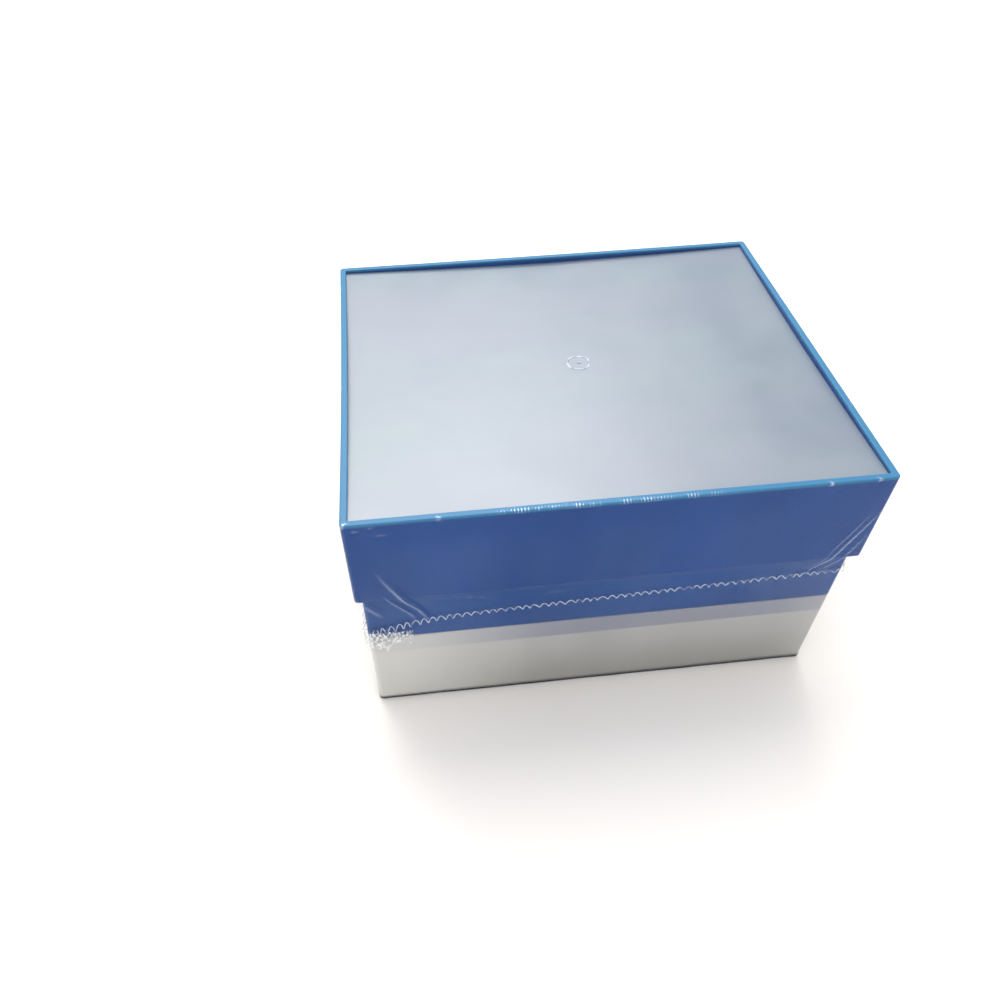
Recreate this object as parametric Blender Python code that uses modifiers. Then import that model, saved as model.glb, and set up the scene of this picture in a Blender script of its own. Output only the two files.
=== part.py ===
"""Cryogenic storage box with 6 x 5 tube places, still sealed in its shrink film.

A natural tray carries a blue rack frame, whose plug drops inside the tray's wall. A grid of half-lapped dividers
stands on the frame's inner ledge, and a shoebox lid slips over the frame. Metres, +Z up. The origin is the middle of
the underside, on the surface that the box stands on, with the long side along X and the front towards -Y.
"""

import math

import bmesh
import bpy
from mathutils import Matrix, Vector

MM = 0.001

# The box measured over its lid, without the film
LENGTH = 133.0 * MM
WIDTH = 112.6 * MM
HEIGHT = 78.8 * MM

# Room left between pieces: SEAT where one rests on another, PLAY where one slides in another
SEAT = 0.3 * MM
PLAY = 0.35 * MM

# Tube places along the length and along the width
COLUMNS = 6
ROWS = 5

# Tray
TRAY_HEIGHT = 30.9 * MM
TRAY_WALL = 1.6 * MM
TRAY_FLOOR = 1.8 * MM
TRAY_CORNER = 1.2 * MM
TRAY_INSIDE_CORNER = 0.4 * MM
FOOT_HEIGHT = 1.2 * MM
FOOT_WIDTH = 2.6 * MM
TUBE_RIB_HEIGHT = 1.5 * MM
TUBE_RIB_WIDTH = 1.2 * MM
VENT_DIAMETER = 4.0 * MM
VENT_SIDES = 12

# Rack frame
RACK_WALL = 2.4 * MM
PLUG_DEPTH = 6.8 * MM
LEDGE_WIDTH = 1.2 * MM
LEDGE_THICKNESS = 2.0 * MM
GROOVE_DEPTH = 1.0 * MM

# Dividers
DIVIDER_THICKNESS = 1.0 * MM
DIVIDER_BELOW_FRAME = 1.5 * MM
LAP_GAP = 0.3 * MM

# Lid
LID_DEPTH = 29.0 * MM
LID_WALL = 1.4 * MM
LID_CORNER = 1.2 * MM
LID_EDGE_ROUND = 0.35 * MM
LID_OVERLAP = 11.7 * MM
LID_SHOULDER = 1.3 * MM
RIM_WIDTH = 1.8 * MM
RIM_HEIGHT = 1.1 * MM
PANEL_THICKNESS = 1.8 * MM
PANEL_SAG = 0.9 * MM
SAG_POWER = 1.5
PANEL_STEPS = 10
GATE_RING_DIAMETER = 6.8 * MM
GATE_RING_WIDTH = 0.7 * MM
GATE_RING_RISE = 0.3 * MM
GATE_RING_SIDES = 24

# Shrink film
FILM_THICKNESS = 0.2 * MM
FILM_GAP = 0.3 * MM
FILM_TUCK = 4.0 * MM
SEAL_DIAMETER = 0.8 * MM
SEAL_SHARE_LEFT = 0.49  # where the seal crosses the band of rack left in sight, 0 at the tray and 1 at the lid
SEAL_SHARE_RIGHT = 0.80

CORNER_SEGMENTS = 3
SHARP_EDGE = math.radians(60)
WELD_DISTANCE = 0.001 * MM

# Colours of the plastics
RACK_COLOUR = (0.045, 0.125, 0.42)
LID_COLOUR = (0.05, 0.17, 0.48)
NATURAL_COLOUR = (0.72, 0.73, 0.70)
DIVIDER_COLOUR = (0.80, 0.81, 0.80)
FILM_COLOUR = (0.92, 0.95, 0.98)

# What follows from the sizes above: levels over the floor, then outer and inner sizes of each ring (length, width)
TRAY_BOTTOM = FILM_THICKNESS + SEAT
TRAY_TOP = TRAY_BOTTOM + TRAY_HEIGHT
RACK_BOTTOM = TRAY_TOP + SEAT
LEDGE_TOP = RACK_BOTTOM + LEDGE_THICKNESS
LID_TOP = TRAY_BOTTOM + HEIGHT
LID_EDGE = LID_TOP - LID_DEPTH
RACK_TOP = LID_EDGE + LID_OVERLAP
DIVIDER_BOTTOM = LEDGE_TOP + SEAT
DIVIDER_HEIGHT = RACK_TOP - DIVIDER_BELOW_FRAME - DIVIDER_BOTTOM
CEILING = LID_TOP - RIM_HEIGHT - PANEL_SAG - PANEL_THICKNESS
TUCK_BOTTOM = LID_EDGE - FILM_TUCK

LID_OUTER = Vector((LENGTH, WIDTH))


def inwards(size, wall):
    """The size of a ring after its wall has been taken off on each side."""
    return Vector((size.x - 2 * wall, size.y - 2 * wall))


LID_INNER = inwards(LID_OUTER, LID_WALL)
RACK_OUTER = inwards(LID_INNER, PLAY)
RACK_INNER = inwards(RACK_OUTER, RACK_WALL)
LEDGE_INNER = inwards(RACK_INNER, LEDGE_WIDTH)
TRAY_OUTER = RACK_OUTER.copy()
TRAY_INNER = inwards(TRAY_OUTER, TRAY_WALL)
PLUG_OUTER = inwards(TRAY_INNER, PLAY)
PITCH = Vector((RACK_INNER.x / COLUMNS, RACK_INNER.y / ROWS))
COLUMN_LINES = [PITCH.x * (i - COLUMNS / 2) for i in range(1, COLUMNS)]
ROW_LINES = [PITCH.y * (i - ROWS / 2) for i in range(1, ROWS)]
CELL_CENTRES = [
    (PITCH.x * (i + 0.5 - COLUMNS / 2), PITCH.y * (j + 0.5 - ROWS / 2))
    for i in range(COLUMNS)
    for j in range(ROWS)
]


def clear_scene():
    for obj in list(bpy.data.objects):
        bpy.data.objects.remove(obj, do_unlink=True)


def new_collection(name, hidden=False):
    collection = bpy.data.collections.new(name)
    collection.hide_render = hidden
    bpy.context.scene.collection.children.link(collection)
    return collection


def plastic(name, colour, roughness, alpha=1.0):
    material = bpy.data.materials.new(name)
    material.use_nodes = True
    shader = material.node_tree.nodes["Principled BSDF"]
    shader.inputs["Base Color"].default_value = (*colour, 1.0)
    shader.inputs["Roughness"].default_value = roughness
    shader.inputs["Metallic"].default_value = 0.0
    shader.inputs["Alpha"].default_value = alpha
    material.diffuse_color = (*colour, alpha)
    return material


def add_piece(name, data, material, parent=None, location=(0.0, 0.0, 0.0)):
    """Puts a mesh or a curve in the box's collection, as one named piece."""
    piece = bpy.data.objects.new(name, data)
    if not data.materials:
        data.materials.append(material)
    piece.parent = parent
    piece.location = location
    box_pieces.objects.link(piece)
    return piece


def add_lift(name, parent, level):
    """An empty on a lift's axis, which carries the pieces that come off together."""
    empty = bpy.data.objects.new(name, None)
    empty.empty_display_size = 10 * MM
    empty.parent = parent
    empty.location = (0.0, 0.0, level)
    box_pieces.objects.link(empty)
    return empty


def finish_mesh(name, bm):
    mesh = bpy.data.meshes.new(name)
    bm.to_mesh(mesh)
    bm.free()
    return mesh


def add_block(bm, size, bottom, top, centre=(0.0, 0.0)):
    """Adds a box of that length and width to the mesh."""
    corners = bmesh.ops.create_cube(bm, size=1.0)["verts"]
    bmesh.ops.scale(bm, vec=(size[0], size[1], top - bottom), verts=corners)
    bmesh.ops.translate(bm, vec=(centre[0], centre[1], (bottom + top) / 2), verts=corners)


def block_mesh(name, size, bottom, top, corner=0.0):
    """A block with its upright edges rounded."""
    bm = bmesh.new()
    add_block(bm, size, bottom, top)
    if corner:
        upright = [e for e in bm.edges if abs(e.verts[0].co.z - e.verts[1].co.z) > (top - bottom) / 2]
        bmesh.ops.bevel(bm, geom=upright, offset=corner, segments=CORNER_SEGMENTS, profile=0.5, affect="EDGES")
    return finish_mesh(name, bm)


def carve(piece, mesh, operation="DIFFERENCE"):
    """Cuts a mesh out of a piece, or joins it on. The cutter follows the piece that it shapes."""
    cutter = bpy.data.objects.new(mesh.name, mesh)
    cutter.parent = piece
    cutter.hide_render = True
    cutter.display_type = "WIRE"
    cutters.objects.link(cutter)
    boolean = piece.modifiers.new(mesh.name, "BOOLEAN")
    boolean.operation = operation
    boolean.solver = "EXACT"
    boolean.object = cutter


def make_tray(material):
    """The tray: walls, a floor raised on a foot ring, a pocket under each tube and a vent in each pocket."""
    inside = TRAY_BOTTOM + FOOT_HEIGHT + TRAY_FLOOR
    tray = add_piece("base_tray", block_mesh("base_tray", TRAY_OUTER, TRAY_BOTTOM, TRAY_TOP, TRAY_CORNER), material)
    over_ribs = inside + TUBE_RIB_HEIGHT
    carve(tray, block_mesh("tray_cavity", TRAY_INNER, over_ribs, TRAY_TOP + TRAY_WALL, TRAY_INSIDE_CORNER))
    foot_recess = inwards(TRAY_OUTER, FOOT_WIDTH)
    carve(tray, block_mesh("tray_foot_recess", foot_recess, TRAY_BOTTOM - FOOT_HEIGHT, TRAY_BOTTOM + FOOT_HEIGHT))
    pockets = bmesh.new()
    vents = bmesh.new()
    for centre in CELL_CENTRES:
        pocket = (PITCH.x - TUBE_RIB_WIDTH, PITCH.y - TUBE_RIB_WIDTH)
        add_block(pockets, pocket, inside, inside + 2 * TUBE_RIB_HEIGHT, centre)
        bmesh.ops.create_cone(
            vents,
            cap_ends=True,
            segments=VENT_SIDES,
            radius1=VENT_DIAMETER / 2,
            radius2=VENT_DIAMETER / 2,
            depth=2 * TRAY_FLOOR + FOOT_HEIGHT,
            matrix=Matrix.Translation((*centre, inside - TRAY_FLOOR / 2)),
        )
    carve(tray, finish_mesh("tray_tube_pockets", pockets))
    carve(tray, finish_mesh("tray_vents", vents))


def make_rack(material, lift):
    """The rack frame: a wall that the lid slips over, a plug inside the tray, a ledge, and a groove at each divider."""
    up = -RACK_BOTTOM
    rack = add_piece("rack_frame", block_mesh("rack_frame", RACK_OUTER, 0.0, RACK_TOP + up, TRAY_CORNER), material, lift)
    carve(rack, block_mesh("rack_plug", PLUG_OUTER, -PLUG_DEPTH, LEDGE_THICKNESS / 2), "UNION")
    carve(rack, block_mesh("rack_inside", RACK_INNER, LEDGE_TOP + up, RACK_TOP + up + RACK_WALL))
    carve(rack, block_mesh("rack_ledge_opening", LEDGE_INNER, -2 * PLUG_DEPTH, LEDGE_TOP + up + RACK_WALL))
    groove = DIVIDER_THICKNESS + 2 * PLAY
    cut = 2 * GROOVE_DEPTH
    grooves = bmesh.new()
    for side in (-0.5, 0.5):
        for x in COLUMN_LINES:
            add_block(grooves, (groove, cut), LEDGE_TOP + up, RACK_TOP + up + RACK_WALL, (x, side * RACK_INNER.y))
        for y in ROW_LINES:
            add_block(grooves, (cut, groove), LEDGE_TOP + up, RACK_TOP + up + RACK_WALL, (side * RACK_INNER.x, y))
    carve(rack, finish_mesh("rack_grooves", grooves))


def comb_outline(name, length, slots, slots_up):
    """A divider's flat outline: a long strip with a slot half its height at each crossing divider."""
    half_slot = DIVIDER_THICKNESS / 2 + PLAY
    slot_end = DIVIDER_HEIGHT / 2 - LAP_GAP / 2
    points = [(-length / 2, 0.0), (-length / 2, DIVIDER_HEIGHT)]
    for x in slots:
        points += [
            (x - half_slot, DIVIDER_HEIGHT),
            (x - half_slot, slot_end),
            (x + half_slot, slot_end),
            (x + half_slot, DIVIDER_HEIGHT),
        ]
    points += [(length / 2, DIVIDER_HEIGHT), (length / 2, 0.0)]
    if not slots_up:
        points = [(x, DIVIDER_HEIGHT - y) for x, y in reversed(points)]
    curve = bpy.data.curves.new(name, "CURVE")
    curve.dimensions = "2D"
    curve.fill_mode = "BOTH"
    curve.extrude = DIVIDER_THICKNESS / 2
    spline = curve.splines.new("POLY")
    spline.points.add(len(points) - 1)
    for point, (x, y) in zip(spline.points, points):
        point.co = (x, y, 0.0, 1.0)
    spline.use_cyclic_u = True
    return curve


def make_dividers(material, long_lift, cross_lift):
    """Long dividers along X with slots open upwards, and cross dividers along Y that drop over them."""
    into_grooves = 2 * (GROOVE_DEPTH - PLAY)
    long_strip = comb_outline("divider_long", RACK_INNER.x + into_grooves, COLUMN_LINES, True)
    cross_strip = comb_outline("divider_cross", RACK_INNER.y + into_grooves, ROW_LINES, False)
    for number, y in enumerate(ROW_LINES, 1):
        strip = add_piece(f"divider_long_{number}", long_strip, material, long_lift, (0.0, y, 0.0))
        strip.rotation_euler = (math.pi / 2, 0.0, 0.0)
    for number, x in enumerate(COLUMN_LINES, 1):
        strip = add_piece(f"divider_cross_{number}", cross_strip, material, cross_lift, (x, 0.0, 0.0))
        strip.rotation_euler = (math.pi / 2, 0.0, math.pi / 2)


def panel_cutter(up):
    """The space over the lid's panel, whose floor is highest in the corners and sags in between."""
    size = inwards(LID_OUTER, RIM_WIDTH)
    bm = bmesh.new()
    grid = bmesh.ops.create_grid(bm, x_segments=PANEL_STEPS, y_segments=PANEL_STEPS, size=0.5)["verts"]
    for vert in grid:
        u, v = 2 * vert.co.x, 2 * vert.co.y
        sag = PANEL_SAG * (1 - abs(u * v) ** SAG_POWER)
        vert.co = (u * size.x / 2, v * size.y / 2, LID_TOP + up - RIM_HEIGHT - sag)
    sheet = bm.faces[:] + bm.edges[:]
    top = bmesh.ops.extrude_face_region(bm, geom=sheet)["geom"]
    for vert in (g for g in top if isinstance(g, bmesh.types.BMVert)):
        vert.co.z = LID_TOP + up + RIM_HEIGHT
    bmesh.ops.recalc_face_normals(bm, faces=bm.faces)
    return finish_mesh("lid_panel_recess", bm)


def gate_ring_mesh(up):
    """The small raised ring round the moulding gate, in the middle of the lid."""
    bm = bmesh.new()
    middle = LID_TOP + up - RIM_HEIGHT - PANEL_SAG
    low, high = middle - PANEL_THICKNESS / 2, middle + GATE_RING_RISE
    outer, inner = GATE_RING_DIAMETER / 2, GATE_RING_DIAMETER / 2 - GATE_RING_WIDTH
    profile = [bm.verts.new((r, 0.0, z)) for r, z in ((outer, low), (outer, high), (inner, high), (inner, low))]
    ring = [bm.edges.new((profile[i], profile[(i + 1) % 4])) for i in range(4)]
    bmesh.ops.spin(
        bm,
        geom=profile + ring,
        cent=(0.0, 0.0, 0.0),
        axis=(0.0, 0.0, 1.0),
        angle=math.tau,
        steps=GATE_RING_SIDES,
        use_merge=True,
    )
    bmesh.ops.remove_doubles(bm, verts=bm.verts, dist=WELD_DISTANCE)
    bmesh.ops.recalc_face_normals(bm, faces=bm.faces)
    return finish_mesh("lid_gate_ring", bm)


def make_lid(material, lift):
    """The lid: a shoebox with a sunk top panel inside a thin rim, and a shoulder inside that sits on the rack."""
    up = -LID_EDGE
    mesh = block_mesh("lid", LID_OUTER, 0.0, LID_DEPTH, LID_CORNER)
    lid = add_piece("lid", mesh, material, lift)
    rounding = lid.modifiers.new("rounded_edges", "BEVEL")
    rounding.width = LID_EDGE_ROUND
    rounding.segments = 2
    rounding.limit_method = "ANGLE"
    rounding.angle_limit = SHARP_EDGE
    carve(lid, block_mesh("lid_skirt_inside", LID_INNER, -LID_WALL, RACK_TOP + SEAT + up))
    shoulder_inner = inwards(LID_INNER, LID_SHOULDER)
    carve(lid, block_mesh("lid_inside", shoulder_inner, RACK_TOP - LID_WALL + up, CEILING + up))
    carve(lid, panel_cutter(up))
    carve(lid, gate_ring_mesh(up), "UNION")


def seal_level(x):
    """Height of the film's seal, which runs uphill from the left side to the right side."""
    share = SEAL_SHARE_LEFT + (SEAL_SHARE_RIGHT - SEAL_SHARE_LEFT) * (x / LENGTH + 0.5)
    return TRAY_TOP + share * (TUCK_BOTTOM - TRAY_TOP)


def corner_outline(size, radius):
    """Points round a rectangle with round corners, anticlockwise from the right end of the back side."""
    points = []
    for quarter in range(4):
        side_x = 1 if quarter in (0, 3) else -1
        side_y = 1 if quarter in (0, 1) else -1
        centre = Vector((side_x * (size.x / 2 - radius), side_y * (size.y / 2 - radius)))
        for step in range(CORNER_SEGMENTS + 1):
            angle = math.pi / 2 * (quarter + step / CORNER_SEGMENTS)
            points.append(centre + radius * Vector((math.cos(angle), math.sin(angle))))
    return points


def film_mesh(name, rings, roof):
    """A sleeve lofted through rings from the bottom up, each a size and a level, or a level that varies along X."""
    bm = bmesh.new()
    loops = []
    for size, radius, level in rings:
        points = corner_outline(size, radius)
        loops.append([bm.verts.new((p.x, p.y, level(p.x) if callable(level) else level)) for p in points])
    for below, above in zip(loops, loops[1:]):
        for i in range(len(below)):
            j = (i + 1) % len(below)
            bm.faces.new((below[i], below[j], above[j], above[i]))
    if roof:
        bm.faces.new(loops[-1])
    return finish_mesh(name, bm)


def thicken(piece):
    """Gives a film its thickness, inwards from its outer face."""
    wall = piece.modifiers.new("film_thickness", "SOLIDIFY")
    wall.thickness = FILM_THICKNESS
    wall.offset = -1.0
    wall.use_even_offset = True


def make_film(material, lid_lift):
    """Shrink film: a sheet under the tray, a sleeve up to the seal, a hood over the lid, and the welded seal itself."""
    cover = FILM_GAP + FILM_THICKNESS
    tray_film, lid_film = inwards(TRAY_OUTER, -cover), inwards(LID_OUTER, -cover)
    tray_round, lid_round = TRAY_CORNER + cover, LID_CORNER + cover
    half_split = SEAT / 2
    roof = LID_TOP + cover

    sheet = block_mesh("film_bottom_sheet", tray_film, 0.0, FILM_THICKNESS, tray_round)
    add_piece("film_bottom_sheet", sheet, material)

    sleeve = film_mesh(
        "film_lower_sleeve",
        [(tray_film, tray_round, TRAY_BOTTOM), (tray_film, tray_round, lambda x: seal_level(x) - half_split)],
        roof=False,
    )
    thicken(add_piece("film_lower_sleeve", sleeve, material))

    hood = film_mesh(
        "film_top_hood",
        [
            (tray_film, tray_round, lambda x: seal_level(x) + half_split),
            (tray_film, tray_round, TUCK_BOTTOM),
            (lid_film, lid_round, LID_EDGE),
            (lid_film, lid_round, roof),
        ],
        roof=True,
    )
    for vert in hood.vertices:
        vert.co.z -= LID_EDGE
    thicken(add_piece("film_top_hood", hood, material, lid_lift))

    bead = inwards(tray_film, -(PLAY + SEAL_DIAMETER / 2))
    corners = corner_outline(bead, tray_round + PLAY + SEAL_DIAMETER / 2)
    round_front = corners[2 * CORNER_SEGMENTS + 2 :]
    back = corners[0].y - tray_round
    path = [Vector((-bead.x / 2, back))] + round_front + [Vector((bead.x / 2, back))]
    curve = bpy.data.curves.new("film_seal_bead", "CURVE")
    curve.dimensions = "3D"
    curve.bevel_depth = SEAL_DIAMETER / 2
    curve.bevel_resolution = 2
    curve.use_fill_caps = True
    spline = curve.splines.new("POLY")
    spline.points.add(len(path) - 1)
    for point, place in zip(spline.points, path):
        point.co = (place.x, place.y, seal_level(place.x) - LID_EDGE, 1.0)
    add_piece("film_seal_bead", curve, material, lid_lift)


clear_scene()
box_pieces = new_collection("cryogenic_storage_box")
cutters = new_collection("cutters", hidden=True)

natural = plastic("natural_polypropylene", NATURAL_COLOUR, 0.4, 0.9)
rack_blue = plastic("rack_blue_polypropylene", RACK_COLOUR, 0.4)
divider_white = plastic("divider_polypropylene", DIVIDER_COLOUR, 0.5)
lid_blue = plastic("lid_blue_polypropylene", LID_COLOUR, 0.35)
film_clear = plastic("shrink_film", FILM_COLOUR, 0.15, 0.2)

rack_lift = add_lift("rack_lift", None, RACK_BOTTOM)
long_dividers_lift = add_lift("long_dividers_lift", rack_lift, DIVIDER_BOTTOM - RACK_BOTTOM)
cross_dividers_lift = add_lift("cross_dividers_lift", long_dividers_lift, 0.0)
lid_lift = add_lift("lid_lift", cross_dividers_lift, LID_EDGE - DIVIDER_BOTTOM)

make_tray(natural)
make_rack(rack_blue, rack_lift)
make_dividers(divider_white, long_dividers_lift, cross_dividers_lift)
make_lid(lid_blue, lid_lift)
make_film(film_clear, lid_lift)
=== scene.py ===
import math

import bmesh
import bpy
import numpy as np
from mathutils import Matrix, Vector


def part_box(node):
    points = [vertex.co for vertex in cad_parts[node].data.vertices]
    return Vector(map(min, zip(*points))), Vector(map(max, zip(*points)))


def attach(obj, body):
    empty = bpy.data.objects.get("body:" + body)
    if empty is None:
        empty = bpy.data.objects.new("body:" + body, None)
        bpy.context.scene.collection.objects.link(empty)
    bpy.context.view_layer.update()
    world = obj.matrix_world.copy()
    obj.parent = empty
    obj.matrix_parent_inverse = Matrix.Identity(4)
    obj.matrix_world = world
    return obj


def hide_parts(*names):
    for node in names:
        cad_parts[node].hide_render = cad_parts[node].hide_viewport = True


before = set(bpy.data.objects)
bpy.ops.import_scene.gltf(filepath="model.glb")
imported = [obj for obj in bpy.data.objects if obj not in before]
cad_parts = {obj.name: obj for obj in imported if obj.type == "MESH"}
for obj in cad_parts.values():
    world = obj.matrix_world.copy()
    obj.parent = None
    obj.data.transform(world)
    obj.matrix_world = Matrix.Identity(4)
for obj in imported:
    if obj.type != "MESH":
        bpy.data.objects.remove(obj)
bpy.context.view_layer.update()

MM = 0.001

# ------ base tray
# The shallow bottom half, injection moulded in natural polypropylene. It is milky and lets some light
# through; the rack's blue plug showing softly behind its wall is painted into its colour as a band of painted
# shade. It stands on a foot ring, and each tube place has a pocket in the floor with a drain hole.

TRAY_WALL = 1.6 * MM
TRAY_CORNER = 1.2 * MM
TRAY_FLOOR = 1.8 * MM
FOOT_HEIGHT = 1.2 * MM
FOOT_WIDTH = 2.6 * MM
POCKET_DEPTH = 1.5 * MM
POCKET_RIB = 1.2 * MM
POCKET_ROUND = 1.0 * MM
DRAIN_DIAMETER = 4.0 * MM
TIGHTEST_CORNER = 0.4 * MM
COLUMNS, ROWS = 6, 5
WALL_STEPS = (36, 32, 6)
WELD_DISTANCE = 0.001 * MM
MILKY_PALE = (0.45, 0.45, 0.445, 1)
MILKY_DEEP = (0.405, 0.405, 0.4, 1)
# The next three colours are painted light and shade: painted shade low on the wall, the plug's painted shade
# band, and a painted glow at the ends.
PAINTED_FOOT_SHADE = (0.315, 0.303, 0.28, 1)
PAINTED_PLUG_SHADE = (0.195, 0.215, 0.315, 1)
PAINTED_END_GLOW = (0.7, 0.7, 0.67, 1)
PAINTED_END_GLOW_SHIFT = 18 * MM


def outline(size, corner, steps):
    """Points round a rectangle with round corners, and the way out at each. They run anticlockwise from the
    back end of the right side. The steps are those of a long side, of a short side and of a corner."""
    points, outward = [], []
    for quarter in range(4):
        turn = math.pi / 2 * quarter
        centre = [
            math.copysign(size[0] / 2 - corner, math.cos(turn + math.pi / 4)),
            math.copysign(size[1] / 2 - corner, math.sin(turn + math.pi / 4)),
        ]
        for step in range(steps[2] + 1):
            angle = turn + math.pi / 2 * step / steps[2]
            outward.append((math.cos(angle), math.sin(angle)))
            points.append((centre[0] + corner * outward[-1][0], centre[1] + corner * outward[-1][1]))
        straight = steps[quarter % 2]
        along = (-math.sin(turn + math.pi / 2), math.cos(turn + math.pi / 2))
        run = (size[quarter % 2] - 2 * corner) / straight
        start = points[-1]
        for step in range(1, straight):
            points.append((start[0] + along[0] * run * step, start[1] + along[1] * run * step))
            outward.append(outward[-1])
    return np.array(points), np.array(outward)


def rounded(corners, steps=4, support=0.2 * MM):
    """A profile of (inset, level, radius) corners as points, each corner turned into an arc. A point stands
    just outside each end of an arc, so that smooth shading leaves the flats flat."""
    places = [Vector(corner[:2]) for corner in corners]
    points = [places[0]]
    for before, here, after, corner in zip(places, places[1:], places[2:], corners[1:]):
        back, on = (before - here).normalized(), (after - here).normalized()
        half = back.angle(on) / 2
        reach = corner[2] / math.tan(half)
        middle = here + (back + on).normalized() * corner[2] / math.sin(half)
        points.append(here + back * (reach + support))
        start = here + back * reach - middle
        end = here + on * reach - middle
        swing = (math.atan2(end.y, end.x) - math.atan2(start.y, start.x) + math.pi) % math.tau - math.pi
        for step in range(steps + 1):
            angle = math.atan2(start.y, start.x) + swing * step / steps
            points.append(middle + start.length * Vector((math.cos(angle), math.sin(angle))))
        points.append(here + on * (reach + support))
    return points + [places[-1]]


def join_loops(bm, loops):
    """Fills the space between each closed loop of vertices and the next with four-sided faces."""
    for near, far in zip(loops, loops[1:]):
        for i in range(len(near)):
            j = (i + 1) % len(near)
            bm.faces.new((near[i], near[j], far[j], far[i]))


def wall_loops(bm, size, corner, profile, steps, level=None):
    """Carries a profile round a rectangle with round corners, and gives its loops of vertices. The level,
    where it is given, lifts or drops each point by its place."""
    loops = []
    for inset, height in profile:
        radius = max(corner - inset, TIGHTEST_CORNER)
        points, _ = outline((size[0] - 2 * inset, size[1] - 2 * inset), radius, steps)
        lifts = [level(x, y, height) if level else 0.0 for x, y in points]
        loops.append([bm.verts.new((x, y, height + lift)) for (x, y), lift in zip(points, lifts)])
    join_loops(bm, loops)
    return loops


def smooth_mesh(name, bm):
    mesh = bpy.data.meshes.new(name)
    bm.to_mesh(mesh)
    bm.free()
    mesh.shade_smooth()
    return mesh


def finished_mesh(name, bm, sharp=35):
    """Closes a mesh's seams, points its faces outwards and shades it smooth up to an angle in degrees."""
    bmesh.ops.remove_doubles(bm, verts=bm.verts, dist=WELD_DISTANCE)
    bmesh.ops.recalc_face_normals(bm, faces=bm.faces)
    mesh = smooth_mesh(name, bm)
    mesh.set_sharp_from_angle(angle=math.radians(sharp))
    return mesh


def add_object(name, data, *materials):
    made = bpy.data.objects.new(name, data)
    bpy.context.scene.collection.objects.link(made)
    for material in materials:
        data.materials.append(material)
    return made


def plain_mesh(obj):
    """Turns what an object's modifiers make into its own plain mesh."""
    graph = bpy.context.evaluated_depsgraph_get()
    made = obj.evaluated_get(graph)
    mesh = bpy.data.meshes.new_from_object(made, preserve_all_data_layers=True, depsgraph=graph)
    obj.modifiers.clear()
    obj.data = mesh


class Wire:
    """A socket in a node tree. Sums on it add Math nodes, and add() makes any other node."""

    def __init__(self, tree, socket=None):
        self.tree = tree
        self.socket = socket

    def add(self, kind, settings=(), inputs=(), out=0):
        node = self.tree.nodes.new(kind)
        for name, value in dict(settings).items():
            if name == "stops":
                ramp = node.color_ramp.elements
                while len(ramp) < len(value):
                    ramp.new(1.0)
                for stop, (place, colour) in zip(ramp, value):
                    stop.position = place
                    stop.color = colour
            else:
                setattr(node, name, value)
        for name, value in dict(inputs).items():
            if isinstance(value, Wire):
                self.tree.links.new(value.socket, node.inputs[name])
            else:
                node.inputs[name].default_value = value
        return Wire(self.tree, node.outputs[out] if node.outputs else None)

    def math(self, operation, *values):
        return self.add("ShaderNodeMath", {"operation": operation}, dict(enumerate(values)))

    def __add__(self, other):
        return self.math("ADD", self, other)

    def __radd__(self, other):
        return self.math("ADD", other, self)

    def __sub__(self, other):
        return self.math("SUBTRACT", self, other)

    def __rsub__(self, other):
        return self.math("SUBTRACT", other, self)

    def __mul__(self, other):
        return self.math("MULTIPLY", self, other)

    def __rmul__(self, other):
        return self.math("MULTIPLY", other, self)

    def noise(self, scale, detail=3.0, stretch=(1, 1, 1), roughness=0.5):
        """Noise on the object's own coordinates, its scale per metre and scaled again along each axis."""
        place = self.add("ShaderNodeTexCoord", out="Object")
        place = self.add("ShaderNodeMapping", {}, {"Vector": place, "Scale": stretch})
        sizes = {"Vector": place, "Scale": scale, "Detail": detail, "Roughness": roughness}
        return self.add("ShaderNodeTexNoise", {}, sizes, "Fac")

    def along(self, axis):
        """The object's own coordinate along X, Y or Z, in metres."""
        place = self.add("ShaderNodeTexCoord", out="Object")
        return self.add("ShaderNodeSeparateXYZ", {}, {0: place}, axis)

    def ramp(self, low, high, start=0.0, end=1.0):
        """Runs smoothly from start to end while this value runs from low to high."""
        limits = {"Value": self, 1: low, 2: high, 3: start, 4: end}
        return self.add("ShaderNodeMapRange", {"interpolation_type": "SMOOTHSTEP"}, limits)

    def blend(self, first, second):
        """Mixes two colours by this value."""
        return self.add("ShaderNodeMix", {"data_type": "RGBA"}, {0: self, 6: first, 7: second}, 2)

    def bump(self, depth, strength=1.0):
        """A normal that is raised by this value, by so much in metres."""
        return self.add("ShaderNodeBump", {}, {"Height": self, "Distance": depth, "Strength": strength})


def new_material(name):
    """An empty material, and a wire to build its nodes from."""
    material = bpy.data.materials.new(name)
    material.use_nodes = True
    material.node_tree.nodes.clear()
    return material, Wire(material.node_tree)


def set_surface(wire, finish, cover=None):
    """Ends a material in a shader with these inputs. Where a cover is given, what it leaves is clear."""
    shader = wire.add("ShaderNodeBsdfPrincipled", {}, finish)
    if cover:
        clear = wire.add("ShaderNodeBsdfTransparent", {}, {"Color": (1, 1, 1, 1)})
        shader = wire.add("ShaderNodeMixShader", {}, {0: cover, 1: clear, 2: shader})
    wire.add("ShaderNodeOutputMaterial", {}, {"Surface": shader})


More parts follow.
